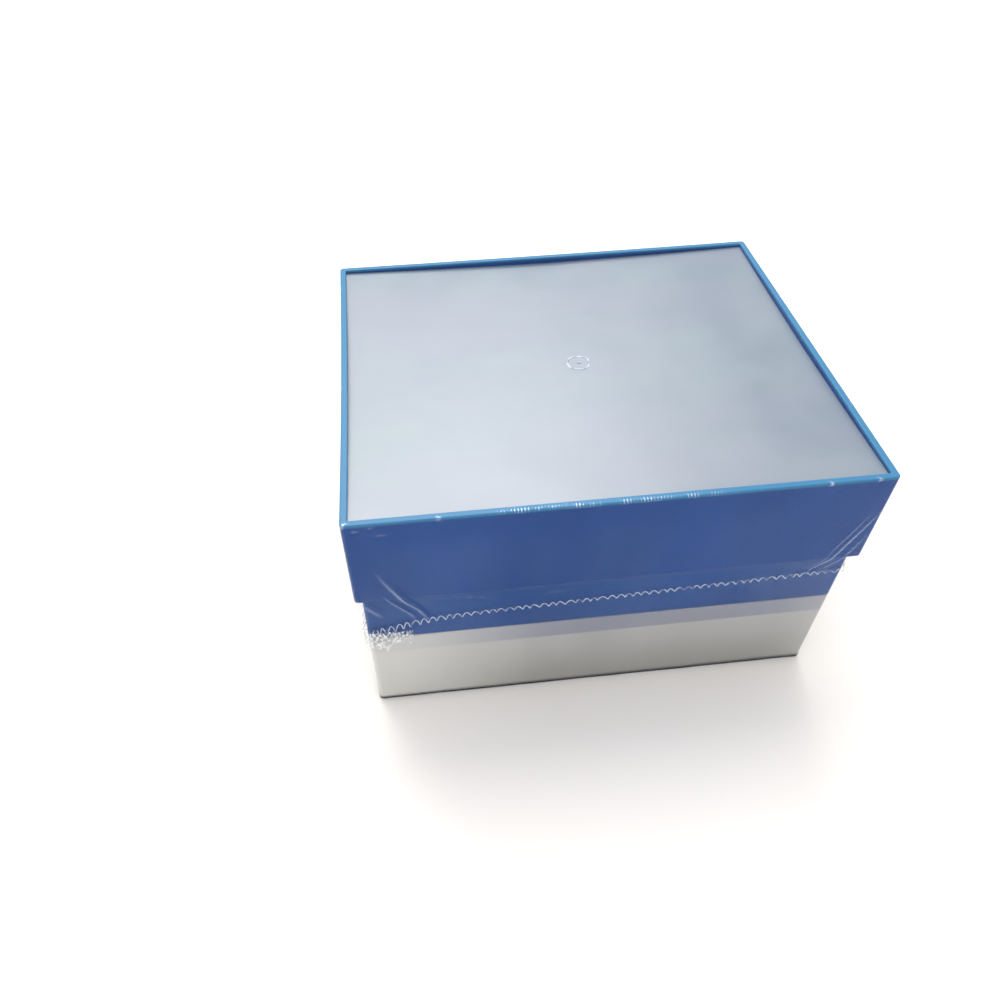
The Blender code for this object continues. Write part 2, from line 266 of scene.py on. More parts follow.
def natural_plastic(plug_bottom, half_length):
    """Milky polypropylene with faint upright flow marks and a fine satin grain. Light and shade are painted
    into
    its colour: a painted glow towards its ends, most at the left, for light coming through from the side;
    painted shade low down; and a painted blue-grey band where the rack's plug is behind it, which stays when
    it is lifted."""
    material, wire = new_material("natural_polypropylene")
    flow = wire.noise(60, 4, (1, 1, 0.12)).ramp(0.3, 0.7)
    cloud = wire.noise(25, 2)
    colour = flow.blend(MILKY_PALE, MILKY_DEEP)
    # Painted shade: the wall is painted greyer towards its foot.
    painted_shade_low_down = wire.along("Z").ramp(0.0, plug_bottom, 0.9, 0.0)
    colour = painted_shade_low_down.blend(colour, PAINTED_FOOT_SHADE)
    # Painted shade: a blue-grey band painted where the rack's plug stands inside the wall. It stays when the
    # rack is lifted.
    behind = wire.along("Z").ramp(plug_bottom - 0.6 * MM, plug_bottom + 0.4 * MM, 0.0, 0.62)
    colour = behind.blend(colour, PAINTED_PLUG_SHADE)
    # Painted light: a glow painted towards the ends, centred right of the middle so that it is strongest at
    # the left end.
    from_middle = wire.math("ABSOLUTE", wire.along("X") - PAINTED_END_GLOW_SHIFT)
    ends = from_middle.ramp(0.42 * half_length, 1.18 * half_length)
    colour = (ends * 0.75).blend(colour, PAINTED_END_GLOW)
    grain = wire.noise(2600, 2) * 0.4 + wire.noise(160, 3)
    finish = {
        "Base Color": colour,
        "Roughness": cloud.ramp(0.3, 0.7, 0.3, 0.42),
        "IOR": 1.49,
        "Specular IOR Level": 0.35,
        "Subsurface Weight": 0.6,
        "Subsurface Radius": (1.0, 1.0, 0.92),
        "Subsurface Scale": 2.0 * MM,
        "Normal": grain.bump(0.03 * MM),
    }
    set_surface(wire, finish)
    return material


def pocket_mesh(pitch, over_ribs, under_floor):
    """One tube place in the floor: the half ribs round it, its pocket, and the drain hole through it."""
    steps = (4, 4, 4)
    floor = over_ribs - POCKET_DEPTH
    pocket = (pitch[0] - POCKET_RIB, pitch[1] - POCKET_RIB)
    hole = (DRAIN_DIAMETER, DRAIN_DIAMETER)
    edge, hole_edge = 0.25 * MM, 0.2 * MM
    past_corner = 1.001
    rings = [
        (pitch, 0.0, under_floor),
        (hole, DRAIN_DIAMETER / 2, under_floor),
        (hole, DRAIN_DIAMETER / 2, floor - hole_edge),
        ((hole[0] + 2 * hole_edge,) * 2, DRAIN_DIAMETER / 2 + hole_edge, floor),
        ((pocket[0] - 2 * edge, pocket[1] - 2 * edge), POCKET_ROUND - edge, floor),
        (pocket, POCKET_ROUND, floor + edge),
        (pocket, POCKET_ROUND, over_ribs - edge),
        ((pocket[0] + edge, pocket[1] + edge), POCKET_ROUND + edge / 2, over_ribs),
        (pitch, 0.0, over_ribs),
    ]
    bm = bmesh.new()
    loops = []
    for size, corner, level in rings:
        points, _ = outline(size, max(corner, 0.01 * MM), steps)
        if corner == 0.0:
            points = np.sign(points) * np.minimum(np.abs(points) * past_corner, (size[0] / 2, size[1] / 2))
        loops.append([bm.verts.new((x, y, level)) for x, y in points])
    join_loops(bm, loops)
    return smooth_mesh("tray_pocket", bm)


def tree_with_inputs(name, inputs):
    """A Geometry Nodes tree with a geometry going in and out, and named inputs as (name, type, value)."""
    tree = bpy.data.node_groups.new(name, "GeometryNodeTree")
    tree.interface.new_socket("Geometry", in_out="INPUT", socket_type="NodeSocketGeometry")
    tree.interface.new_socket("Geometry", in_out="OUTPUT", socket_type="NodeSocketGeometry")
    for label, kind, value in inputs:
        socket = tree.interface.new_socket(label, in_out="INPUT", socket_type=f"NodeSocket{kind}")
        if value is not None:
            socket.default_value = value
    wire = Wire(tree)
    entry = tree.nodes.new("NodeGroupInput")
    return tree, wire, {socket.name: Wire(tree, socket) for socket in entry.outputs if socket.name}


def close_tree(wire, geometry, material):
    """Ends a tree: real geometry in place of instances, shaded smooth, in one material."""
    real = wire.add("GeometryNodeRealizeInstances", {}, {"Geometry": geometry})
    smooth = wire.add("GeometryNodeSetShadeSmooth", {}, {"Geometry": real})
    dressed = wire.add("GeometryNodeSetMaterial", {}, {"Geometry": smooth, "Material": material})
    wire.add("NodeGroupOutput", {}, {0: dressed})


def run_tree(obj, tree, **values):
    """Runs a tree on an object with these inputs, named with _ for a space, and keeps the mesh it makes."""
    modifier = obj.modifiers.new(tree.name, "NODES")
    modifier.node_group = tree
    for item in tree.interface.items_tree:
        key = item.name.replace(" ", "_").lower()
        if item.in_out == "INPUT" and key in values:
            modifier[item.identifier] = values[key]
    plain_mesh(obj)


def pocket_grid_tree(material):
    """Sets a pocket at each tube place and welds each to the next."""
    sizes = [("Pocket", "Object", None), ("Columns", "Int", COLUMNS), ("Rows", "Int", ROWS)]
    sizes += [("Length", "Float", 0.1), ("Width", "Float", 0.1)]
    tree, wire, given = tree_with_inputs("pocket_grid", sizes)
    extent = {"Size X": given["Length"], "Size Y": given["Width"]}
    count = {"Vertices X": given["Columns"], "Vertices Y": given["Rows"]}
    spots = wire.add("GeometryNodeMeshGrid", {}, {**extent, **count})
    pocket = wire.add("GeometryNodeObjectInfo", {}, {"Object": given["Pocket"]}, "Geometry")
    copies = wire.add("GeometryNodeInstanceOnPoints", {}, {"Points": spots, "Instance": pocket})
    welded = wire.add("GeometryNodeRealizeInstances", {}, {"Geometry": copies})
    welded = wire.add("GeometryNodeMergeByDistance", {}, {"Geometry": welded, "Distance": 0.005 * MM})
    close_tree(wire, welded, material)
    return tree


tray_low, tray_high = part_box("base_tray")
rack_low, rack_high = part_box("rack_frame")
natural = natural_plastic(rack_low.z, tray_high.x)
tray_size = (tray_high.x - tray_low.x, tray_high.y - tray_low.y)
RACK_WALL = 2.4 * MM
rack_inside = tuple(high - low - 2 * RACK_WALL for low, high in zip(rack_low[:2], rack_high[:2]))
pitch = (rack_inside[0] / COLUMNS, rack_inside[1] / ROWS)
under_floor = tray_low.z + FOOT_HEIGHT
over_ribs = under_floor + TRAY_FLOOR + POCKET_DEPTH

pocket = add_object("tray_pocket", pocket_mesh(pitch, over_ribs, under_floor))
floor_grid = add_object("tray_floor", bpy.data.meshes.new("tray_floor"))
extent = {"length": pitch[0] * (COLUMNS - 1), "width": pitch[1] * (ROWS - 1)}
run_tree(floor_grid, pocket_grid_tree(natural), pocket=pocket, **extent)
bpy.data.objects.remove(pocket)

bm = bmesh.new()
bm.from_mesh(floor_grid.data)
bpy.data.objects.remove(floor_grid)
tray_profile = rounded(
    [
        (FOOT_WIDTH, under_floor, 0),
        (FOOT_WIDTH, tray_low.z, 0.3 * MM),
        (0, tray_low.z, 0.5 * MM),
        (0, tray_high.z, 0.35 * MM),
        (TRAY_WALL, tray_high.z, 0.35 * MM),
        (TRAY_WALL, over_ribs, 0),
    ]
)
wall_loops(bm, tray_size, TRAY_CORNER, tray_profile, WALL_STEPS)
bmesh.ops.remove_doubles(bm, verts=bm.verts, dist=WELD_DISTANCE)
for level in (over_ribs, under_floor):
    rim = [e for e in bm.edges if e.is_boundary and all(abs(v.co.z - level) < 0.01 * MM for v in e.verts)]
    bmesh.ops.triangle_fill(bm, use_beauty=True, use_dissolve=False, edges=rim)
tray = add_object("base_tray_moulded", finished_mesh("base_tray_moulded", bm), natural)
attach(tray, "base")
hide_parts("base_tray")

# ------ rack frame
# The blue collar that holds the dividers, moulded in blue polypropylene. Its wall stands on the tray's rim,
# its plug drops inside the tray, and grooves down its inner faces hold the dividers' ends.

MOULD_ROUND = 0.2 * MM
# The rack's blues are set a little paler than the lid's, as painted light that offsets the shade under the
# lid's lower edge.
RACK_DEEP = (0.012, 0.064, 0.245, 1)
RACK_PALE = (0.019, 0.08, 0.29, 1)


def blue_plastic(name, deep, pale, roughness, rim=None):
    """Pigmented polypropylene: even colour with slow swirls of pigment, and a fine satin grain. A rim, given
    by the levels between which it thins and by its colour, is painted paler, as painted light coming through
    it."""
    material, wire = new_material(name)
    swirl = wire.noise(35, 3, (1, 1, 0.4)).ramp(0.32, 0.68)
    colour = swirl.blend(deep, pale)
    if rim:
        thick, thin, tint = rim
        # Painted light: the rim is painted paler by height.
        colour = wire.along("Z").ramp(thick, thin).blend(colour, tint)
    scuff = wire.noise(420, 4, (1, 1, 0.15)).ramp(0.55, 0.8)
    grain = wire.noise(2200, 2) * 0.5 + wire.noise(120, 2)
    finish = {
        "Base Color": colour,
        "Roughness": scuff * 0.12 + roughness,
        "IOR": 1.49,
        "Specular IOR Level": 0.22,
        "Subsurface Weight": 0.15,
        "Subsurface Radius": (0.2, 0.5, 1.0),
        "Subsurface Scale": 1.0 * MM,
        "Normal": grain.bump(0.02 * MM),
    }
    set_surface(wire, finish)
    return material


def moulded_copy(node, name, material):
    """The shape of a CAD node with its sharp edges rounded as a mould rounds them."""
    bm = bmesh.new()
    bm.from_mesh(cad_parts[node].data)
    bmesh.ops.remove_doubles(bm, verts=bm.verts, dist=WELD_DISTANCE)
    bmesh.ops.dissolve_limit(bm, angle_limit=math.radians(1), verts=bm.verts, edges=bm.edges)
    made = add_object(name, smooth_mesh(name, bm), material)
    edges = made.modifiers.new("mould_rounding", "BEVEL")
    edges.width = MOULD_ROUND
    edges.segments = 2
    edges.limit_method = "ANGLE"
    edges.angle_limit = math.radians(50)
    edges.harden_normals = True
    plain_mesh(made)
    return made


rack_blue = blue_plastic("rack_blue_polypropylene", RACK_DEEP, RACK_PALE, 0.38)
rack = moulded_copy("rack_frame", "rack_frame_moulded", rack_blue)
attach(rack, "rack")
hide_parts("rack_frame")

# ------ dividers
# Thin combs of white polypropylene, half-lapped: the long ones' slots are open upwards and the cross ones
# drop over them.


def divider_plastic():
    """White polypropylene, a little uneven, with the fine lines that the mould's polishing left."""
    material, wire = new_material("divider_polypropylene")
    cloud = wire.noise(70, 3).ramp(0.3, 0.7)
    lines = wire.noise(900, 2, (1, 1, 0.04))
    finish = {
        "Base Color": cloud.blend((0.83, 0.84, 0.83, 1), (0.77, 0.79, 0.79, 1)),
        "Roughness": cloud.ramp(0, 1, 0.38, 0.5),
        "IOR": 1.49,
        "Subsurface Weight": 0.2,
        "Subsurface Radius": (1.0, 1.0, 0.9),
        "Subsurface Scale": 1.5 * MM,
        "Normal": lines.bump(0.02 * MM),
    }
    set_surface(wire, finish)
    return material


divider_white = divider_plastic()
for kind, body, count in (("long", "long_dividers", ROWS - 1), ("cross", "cross_dividers", COLUMNS - 1)):
    for number in range(1, count + 1):
        node = f"divider_{kind}_{number}"
        strip = moulded_copy(node, node + "_comb", divider_white)
        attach(strip, body)
        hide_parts(node)

# ------ lid
# The blue shoebox lid. Its top is a sunk panel inside a thin raised rim. The panel is frosted, and it sags a
# little between its corners as it cooled, while the film has pulled the left and back edges slightly inwards.

LID_WALL = 1.4 * MM
LID_CORNER = 1.2 * MM
LID_SHOULDER = 1.3 * MM
SEAT = 0.3 * MM
RIM_WIDTH = 1.8 * MM
RIM_HEIGHT = 1.1 * MM
PANEL_THICKNESS = 1.8 * MM
PANEL_SAG = 0.9 * MM
SAG_POWER = 1.5
PULL_LEFT = 0.4 * MM
PULL_BACK = 0.3 * MM
PULL_FADE = 16 * MM
GATE_RING = 6.8 * MM
GATE_RING_WIDTH = 0.7 * MM
GATE_RING_RISE = 0.3 * MM
GATE_STUB_RADIUS = 0.55 * MM
LID_DEEP = (0.008, 0.053, 0.228, 1)
LID_PALE = (0.014, 0.068, 0.27, 1)
PAINTED_RIM_GLOW = (0.046, 0.192, 0.358, 1)
FROST_DEEP = (0.104, 0.15, 0.208, 1)
FROST_PALE = (0.15, 0.202, 0.246, 1)
FROST_STREAK = (0.148, 0.172, 0.24, 1)

lid_low, lid_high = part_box("lid")
lid_size = (lid_high.x - lid_low.x, lid_high.y - lid_low.y)
panel_size = (lid_size[0] - 2 * RIM_WIDTH, lid_size[1] - 2 * RIM_WIDTH)
panel_top = lid_high.z - RIM_HEIGHT


def panel_sag(x, y):
    """How far the panel has sunk at a place: nothing in its corners, and all of it on its middle lines."""
    u, v = 2 * x / panel_size[0], 2 * y / panel_size[1]
    return PANEL_SAG * (1 - np.minimum(np.abs(u * v), 1.0) ** SAG_POWER)


def pulled_in(x, y, z):
    """A place on the lid or its film once the film has drawn the left and back edges in, most at mid-edge."""
    share = np.clip((z - lid_high.z + PULL_FADE) / PULL_FADE, 0, 1) ** 2
    u, v = 2 * x / lid_size[0], 2 * y / lid_size[1]
    x = x + PULL_LEFT * share * np.clip(-u, 0, 1) ** 3 * (1 - np.clip(v * v, 0, 1))
    y = y - PULL_BACK * share * np.clip(v, 0, 1) ** 3 * (1 - np.clip(u * u, 0, 1))
    return x, y


def fill_with_grid(bm, loop, size, corner, steps, level):
    """Closes a loop that outline() made with a grid of faces, at the level that each place has."""
    along_x, along_y, round_corner = steps
    reach = (size[0] / 2 - corner, size[1] / 2 - corner)
    grid = []
    for i in range(along_x + 1):
        x = reach[0] * (1 - 2 * i / along_x)
        column = [(x, reach[1] * (1 - 2 * j / along_y)) for j in range(along_y + 1)]
        grid.append([bm.verts.new((x, y, level(x, y))) for x, y in column])
    faces = []
    for i in range(along_x):
        for j in range(along_y):
            faces.append(bm.faces.new((grid[i][j], grid[i + 1][j], grid[i + 1][j + 1], grid[i][j + 1])))
    sides = [
        [grid[i][0] for i in range(along_x + 1)],
        [grid[along_x][j] for j in range(along_y + 1)],
        [grid[along_x - i][along_y] for i in range(along_x + 1)],
        [grid[0][along_y - j] for j in range(along_y + 1)],
    ]
    at = 0
    for side in sides:
        for _ in range(round_corner):
            faces.append(bm.faces.new((side[0], loop[at], loop[at + 1])))
            at += 1
        for near, far in zip(side, side[1:]):
            faces.append(bm.faces.new((near, loop[at], loop[(at + 1) % len(loop)], far)))
            at += 1
    return faces


def frosted_blue():
    """The sunk panel: the same plastic with a pale matt frost, with soft clouds and a fine grit."""
    material, wire = new_material("lid_frosted_panel")
    clouds = wire.noise(30, 3, (1, 1, 1), 0.55).ramp(0.3, 0.7)
    streaks = wire.noise(55, 2, (0.25, 1, 1)).ramp(0.35, 0.65)
    grit = wire.noise(3200, 2)
    colour = (streaks * 0.55).blend(clouds.blend(FROST_DEEP, FROST_PALE), FROST_STREAK)
    finish = {
        "Base Color": colour,
        "Roughness": clouds.ramp(0, 1, 0.38, 0.44),
        "IOR": 2.1,
        "Normal": (grit + wire.noise(45, 2) * 4).bump(0.02 * MM),
    }
    set_surface(wire, finish)
    return material


bm = bmesh.new()
lid_profile = rounded(
    [
        (RIM_WIDTH, panel_top, 0),
        (RIM_WIDTH, lid_high.z, 0.3 * MM),
        (0, lid_high.z, 0.4 * MM),
        (0, lid_low.z, 0.3 * MM),
        (LID_WALL, lid_low.z, 0.3 * MM),
        (LID_WALL, rack_high.z + SEAT, 0.2 * MM),
        (LID_WALL + LID_SHOULDER, rack_high.z + SEAT, 0.2 * MM),
        (LID_WALL + LID_SHOULDER, panel_top - PANEL_SAG - PANEL_THICKNESS, 0),
    ]
)


def sunk_edge(x, y, height):
    return -panel_sag(x, y) if height <= panel_top and height > panel_top - RIM_HEIGHT else 0.0


loops = wall_loops(bm, lid_size, LID_CORNER, lid_profile, WALL_STEPS, sunk_edge)
panel_faces = fill_with_grid(
    bm,
    loops[0],
    panel_size,
    max(LID_CORNER - RIM_WIDTH, TIGHTEST_CORNER),
    WALL_STEPS,
    lambda x, y: panel_top - panel_sag(x, y),
)
ceiling = panel_top - PANEL_SAG - PANEL_THICKNESS
inside = LID_WALL + LID_SHOULDER
fill_with_grid(
    bm,
    loops[-1],
    (lid_size[0] - 2 * inside, lid_size[1] - 2 * inside),
    max(LID_CORNER - inside, TIGHTEST_CORNER),
    WALL_STEPS,
    lambda x, y: ceiling,
)
for face in panel_faces:
    face.material_index = 1
for vert in bm.verts:
    vert.co.x, vert.co.y = pulled_in(vert.co.x, vert.co.y, vert.co.z)
# Painted light: the thin rim's paler blue, painted on by height for light coming through it.
painted_thin_rim_glow = (lid_high.z - RIM_HEIGHT, lid_high.z - 0.2 * MM, PAINTED_RIM_GLOW)
lid_blue = blue_plastic("lid_blue_polypropylene", LID_DEEP, LID_PALE, 0.32, painted_thin_rim_glow)
lid_frost = frosted_blue()
lid = add_object("lid_moulded", finished_mesh("lid_moulded", bm), lid_blue, lid_frost)
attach(lid, "lid")
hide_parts("lid")


def gate_mark_mesh():
    """The ring round the moulding gate, stress-whitened and a little broken, with the stub inside it."""
    bm = bmesh.new()
    turns = 72
    level = panel_top - PANEL_SAG
    middle, half = GATE_RING / 2 - GATE_RING_WIDTH / 2, GATE_RING_WIDTH / 2
    section = [(-1, -0.5), (-0.85, 0.35), (-0.4, 0.9), (0.4, 0.9), (0.85, 0.35), (1, -0.5)]
    loops = []
    for step in range(turns):
        angle = math.tau * step / turns
        rise = GATE_RING_RISE * (0.55 + 0.3 * math.sin(3 * angle + 0.6) + 0.15 * math.sin(8 * angle))
        ring = []
        for across, up in section:
            radius = middle + half * across
            ring.append(bm.verts.new((radius * math.cos(angle), radius * math.sin(angle), level + rise * up)))
        loops.append(ring)
    join_loops(bm, loops + [loops[0]])
    stub = bmesh.ops.create_uvsphere(bm, u_segments=16, v_segments=8, radius=GATE_STUB_RADIUS)["verts"]
    bmesh.ops.scale(bm, vec=(1, 1, 0.45), verts=stub)
    bmesh.ops.translate(bm, vec=(0.15 * MM, 0, level), verts=stub)
    return finished_mesh("lid_gate_mark", bm, 60)


def whitened_plastic():
    """Plastic gone white where it was strained as the gate was cut off."""
    material, wire = new_material("gate_whitened_plastic")
    broken = wire.noise(900, 3).ramp(0.4, 0.65)
    finish = {
        "Base Color": broken.blend((0.24, 0.3, 0.38, 1), (0.5, 0.56, 0.63, 1)),
        "Roughness": broken.ramp(0, 1, 0.35, 0.55),
        "Normal": wire.noise(2500, 2).bump(0.03 * MM),
    }
    set_surface(wire, finish)
    return material


gate = add_object("lid_gate_mark", gate_mark_mesh(), whitened_plastic())
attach(gate, "lid")

# ------ lower shrink film
# Clear shrink film as it was sealed round the tray: a pan of film, tight over the tray's wall and under its
# floor, up to the seal. Where the seal has gathered it, it stands in small pleats.

FILM_GAP = 0.12 * MM
PLEAT_LENGTH = 2.3 * MM
PLEAT_FADE = 1.3 * MM
PLEAT_DEPTH = 0.14 * MM
DEEPER_LEFT = 0.3 * MM
DEEPER_RIGHT = 0.1 * MM
FILM_STEPS = (368, 264, 8)
GATHER_PITCH = 0.8 * MM
THIN_OUT = 4
SHEET_INSET = 1.2 * MM
SEAL_SHARE_LEFT = 0.49
SEAL_SHARE_RIGHT = 0.8
SEAL_DIP = 3.9 * MM
SEAL_DIP_REACH = 14 * MM
FILM_TUCK = 4.0 * MM
UNDER_ROUND = 0.5 * MM
# The film's white and its painted highlights take the first colour, its painted shade and contact shadow the
# second.
FILM_WHITE_AND_HIGHLIGHT = (0.66, 0.79, 1.0, 1)
PAINTED_SHADE_COLOUR = (0.012, 0.016, 0.035, 1)
PAINTED_CONTACT_SHADOW = 0.75

wrap_size = (tray_size[0] + 2 * FILM_GAP, tray_size[1] + 2 * FILM_GAP)
hood_size = (lid_size[0] + 2 * FILM_GAP, lid_size[1] + 2 * FILM_GAP)
film_corner = LID_CORNER + FILM_GAP


def smooth(value, low, high):
    """Runs smoothly from 0 to 1 while the value runs from low to high."""
    share = np.clip((value - low) / (high - low), 0, 1)
    return share * share * (3 - 2 * share)


def bell(distance, reach):
    """A share that is 1 at a place and falls off like a bell on each side of it."""
    return np.exp(-((distance / reach) ** 2))


def fade(distance, reach):
    """A share that is 1 at a place and falls off from it at once, to about a third over the reach."""
    return np.exp(-np.abs(distance) / reach)


def seal_level(x, y):
    """Height of the seal, which runs uphill to the right and dips where it was begun, at the front left."""
    share = SEAL_SHARE_LEFT + (SEAL_SHARE_RIGHT - SEAL_SHARE_LEFT) * (x / lid_size[0] + 0.5)
    away = np.hypot(x + lid_size[0] / 2, y + lid_size[1] / 2)
    dip = SEAL_DIP * bell(away, SEAL_DIP_REACH)
    return tray_high.z + share * (lid_low.z - FILM_TUCK - tray_high.z) - dip


wrap_ring, film_out = outline(wrap_size, film_corner, FILM_STEPS)
hood_ring, _ = outline(hood_size, film_corner, FILM_STEPS)
steps_on = np.linalg.norm(np.roll(hood_ring, -1, axis=0) - hood_ring, axis=1)
way_round = np.concatenate([[0], np.cumsum(steps_on)[:-1]])
girth = steps_on.sum()
arc = math.pi / 2 * film_corner
long_run, short_run = (side - 2 * film_corner for side in hood_size)
BACK_RIGHT = arc / 2
BACK_LEFT = BACK_RIGHT + arc + long_run
FRONT_LEFT = BACK_LEFT + arc + short_run
FRONT_RIGHT = FRONT_LEFT + arc + long_run


def from_corner(corner):
    """How far round the box each column of film is from a corner: under 0 before it, and over 0 after it."""
    return (way_round - corner + girth / 2) % girth - girth / 2


def pleats(over_seal):
    """The pleats beside the seal: how far they stand out at each place, this far over or under it."""
    depth = PLEAT_DEPTH + DEEPER_LEFT * fade(from_corner(FRONT_LEFT), 16 * MM)
    depth += DEEPER_RIGHT * fade(from_corner(FRONT_RIGHT), 12 * MM)
    wander = 0.35 * np.sin(way_round / (9.7 * MM)) + 0.5 * np.sin(way_round / (4.3 * MM) + 1)
    wave = 0.5 + 0.5 * np.sin(math.tau * way_round / PLEAT_LENGTH + wander)
    return depth * wave * fade(over_seal, PLEAT_FADE)


def slack(levels):
    """Slow waves that no shrunk film is without, as a share of their height."""
    turn = math.tau * way_round / girth
    waves = np.sin(9 * turn + levels / (7 * MM)) + np.sin(23 * turn - levels / (4.1 * MM) + 2)
    return (waves + 0.6 * np.sin(41 * turn + levels / (2.9 * MM) + 4)) / 2.6


def film_mesh(name, rows, whiteness, coarse_level):
    """A film's wall from its rows of places, closed by a coarser sheet over its last row."""
    count = rows.shape[1]
    bm = bmesh.new()
    white = bm.verts.layers.float.new("whiteness")
    loops = []
    for row, tints in zip(rows, whiteness):
        loop = [bm.verts.new(place) for place in row]
        for vert, tint in zip(loop, tints):
            vert[white] = tint
        loops.append(loop)
    join_loops(bm, loops)
    size = np.ptp(rows[-1][:, :2], axis=0) - SHEET_INSET
    steps = tuple(step // THIN_OUT for step in FILM_STEPS)
    inner, _ = outline(size, film_corner, steps)
    inner_loop = [bm.verts.new((x, y, coarse_level(x, y))) for x, y in inner]
    for i in range(0, count, THIN_OUT):
        near = [loops[-1][(i + k) % count] for k in range(THIN_OUT + 1)]
        here = i // THIN_OUT
        bm.faces.new(near + [inner_loop[(here + 1) % len(inner_loop)], inner_loop[here]])
    fill_with_grid(bm, inner_loop, size, film_corner, steps, coarse_level)
    bmesh.ops.recalc_face_normals(bm, faces=bm.faces)
    return smooth_mesh(name, bm)


def front_gathers(wire):
    """Fine gathers where the film turns over the middle of the front edge, painted as white ticks that are
    partly the gathered film's white and partly painted highlight.
    """
    x, y, z = (wire.along(axis) for axis in "XYZ")
    ticks = wire.math("SINE", x * (math.tau / GATHER_PITCH)).ramp(0.1, 0.9)
    at_top = z.ramp(lid_high.z - 0.9 * MM, lid_high.z - 0.1 * MM)
    at_front = y.ramp(lid_low.y + 1.2 * MM, lid_low.y + 0.3 * MM)
    run = x.ramp(-34 * MM, -24 * MM) * x.ramp(16 * MM, 28 * MM, 1.0, 0.0)
    return ticks * (at_top * at_front) * run * wire.noise(300, 2).ramp(0.4, 0.6) * 0.55


def shrink_film():
    """Clear film: nearly all of it lets light through, with a faint mirror that strengthens at a slant. Over
    0, its attribute lays on a milky white where it is gathered, partly the film's own and partly painted
    highlight, and painted highlights on its creases and pinches. Below 0 it lays on painted shade and a
    painted contact shadow."""
    material, wire = new_material("shrink_film")
    mark = wire.add("ShaderNodeAttribute", {"attribute_name": "whiteness"}, {}, "Fac")
    # Over 0 the attribute is white film and painted highlight, under 0 it is painted shade and shadow.
    white = wire.math("MAXIMUM", mark, 0.0) + front_gathers(wire)
    dark = wire.math("MAXIMUM", mark * -1.0, 0.0)
    slant = wire.add("ShaderNodeLayerWeight", {}, {"Blend": 0.5}, "Facing")
    haze = wire.noise(60, 3, (1, 1, 0.5)).ramp(0.35, 0.7)
    foot = wire.along("Z").ramp(lid_high.z - 14 * MM, lid_high.z - 4 * MM, 1.0, 0.0)
    mirror = wire.math("POWER", slant, 5.0) * 0.16
    cover = mirror + haze * foot * 0.022 + 0.004 + white * 0.95 + dark
    finish = {
        "Base Color": dark.ramp(0.0, 0.05).blend(FILM_WHITE_AND_HIGHLIGHT, PAINTED_SHADE_COLOUR),
        "Metallic": 0.5,
        "Roughness": haze * 0.06 + 0.16 + white * 0.2,
        "Normal": wire.noise(160, 2, (1, 1, 0.4)).bump(0.02 * MM),
    }
    set_surface(wire, finish, cover)
    return material


def film_rows(ring, levels, out):
    """Rows of places on a film's wall, each pushed out from a ring by so much along the way out."""
    x = ring[..., 0] + film_out[:, 0] * out
    y = ring[..., 1] + film_out[:, 1] * out
    return np.stack([x, y, np.broadcast_to(levels, x.shape)], axis=-1)


def edge_rows(ring, level, rise, out, fading=0):
    """Rows that turn a film inwards over an edge. The rise is its radius, under 0 where they turn down."""
    rows = []
    for turn in (30, 60, 90):
        angle = math.radians(turn)
        inwards = abs(rise) * (1 - math.cos(angle))
        stands_out = out * (1 - fading * turn / 90) - inwards
        rows.append(film_rows(ring, level + rise * math.sin(angle), stands_out)[None])
    return rows


def wall_shares(by_seal, fine, coarse):
    """Shares of the way along a film's wall from the seal, finer over the first part, for its pleats."""
    return np.concatenate([np.linspace(0, by_seal, fine)[:-1], np.linspace(by_seal, 1, coarse)])[:, None]


def pleat_white_and_highlight(from_seal):
    """How white the pleats make the film beside the seal: partly the gathered film's white, partly painted
    highlight on their crests.
    """
    return pleats(from_seal) / MM * 0.5 * fade(from_seal, 0.6 * MM)


def declare_film(size, wall):
    """Cut flat, a film is the face it covers and its wall all round, less the four gathered corners."""
    flat = (size[0] + 2 * wall, size[1] + 2 * wall)
    area = flat[0] * flat[1] - 4 * wall * wall


film = shrink_film()
seal = seal_level(wrap_ring[:, 0], wrap_ring[:, 1])
film_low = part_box("film_bottom_sheet")[0].z + 0.05 * MM
under_edge = film_low + UNDER_ROUND
levels = seal - 0.02 * MM - wall_shares(0.12, 14, 22) * (seal - under_edge)
below = seal - levels
out = pleats(below) + 0.06 * MM * slack(levels) * smooth(below, 0, 6 * MM)
under = edge_rows(wrap_ring, under_edge, -UNDER_ROUND, out[-1])
rows = np.concatenate([film_rows(wrap_ring, levels, out), *under])
whiteness = np.zeros(rows.shape[:2])
# The pleats' white and painted highlight beside the seal.
whiteness[: len(out)] = pleat_white_and_highlight(below)
# Painted shadow: the rows along the table are painted dark, as the contact shadow under the tray's edge.
whiteness[rows[..., 2] < 0.75 * MM] = -PAINTED_CONTACT_SHADOW
wrap_mesh = film_mesh("film_lower_wrap", rows, whiteness, lambda x, y: film_low)
wrap = add_object("film_lower_wrap", wrap_mesh, film)
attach(wrap, "base")
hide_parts("film_lower_sleeve", "film_bottom_sheet")
declare_film(wrap_size, float(np.mean(seal)) - film_low)

# ------ film hood
# The upper film: over the lid's rim and down its skirt, then in under the lid's lower edge to the seal.
# Shrinking has drawn creases from the lid's corners down to the seal, and small folds over the rim.

EDGE_ROUND = 0.45 * MM
ROOF_GAP = 0.06 * MM
ROOF_SAG = 0.25 * MM
BRIDGE = 3.2 * MM
BRIDGE_REACH = 17 * MM
# Painted shade between the puckers above the seal, as a share and a reach by each front corner.
PAINTED_SHADE_LEFT = 0.75
PAINTED_SHADE_LEFT_REACH = 6 * MM
PAINTED_SHADE_RIGHT = 0.35
PAINTED_SHADE_RIGHT_REACH = 9 * MM
PAINTED_GLINT_WIDTH = 0.45 * MM
MOST_SINK = 0.05 * MM
MOST_STAND_OUT = 0.34 * MM

